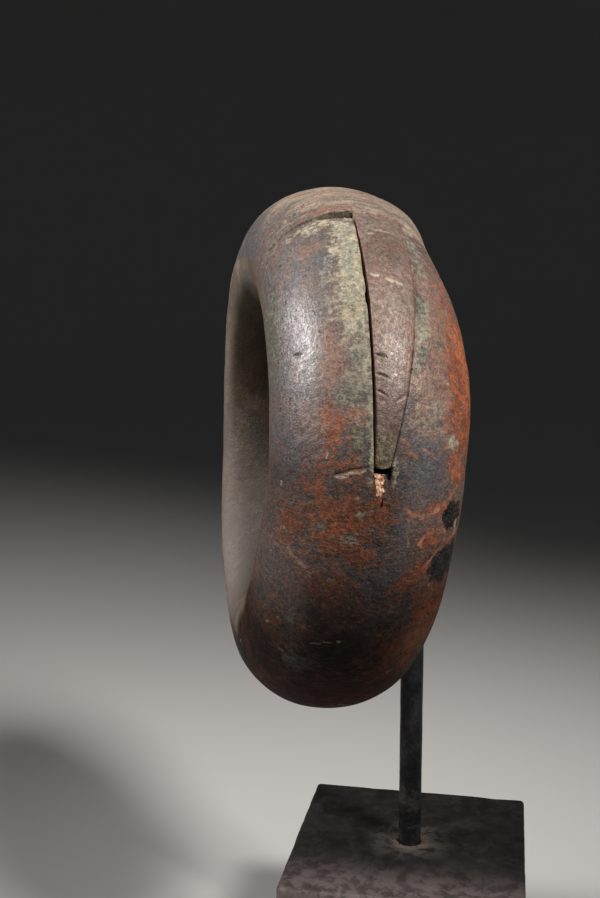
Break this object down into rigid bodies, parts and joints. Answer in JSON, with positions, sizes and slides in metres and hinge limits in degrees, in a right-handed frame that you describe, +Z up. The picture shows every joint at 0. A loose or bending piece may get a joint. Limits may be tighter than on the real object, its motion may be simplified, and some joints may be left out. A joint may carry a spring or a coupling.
{
  "type": "manilla",
  "caption": "Heavy closed copper ring with a tongue lapped into a V-shaped notch, hung on a bent steel rod in a small square block.",
  "frame": {"origin": "middle of the block's flat underside", "axes": "+Z up along the rod, +X to the right along the block's front edge, +Y away from the viewer"},
  "size_m": [0.086, 0.116, 0.2087],
  "materials": {
    "patinated_copper": "satin",
    "dark_steel": "satin",
    "dark_block": "matte"
  },
  "bodies": {
    "root": {"manilla": "patinated_copper", "stand_rod": "dark_steel", "stand_base": "dark_block"}
  },
  "joints": []
}
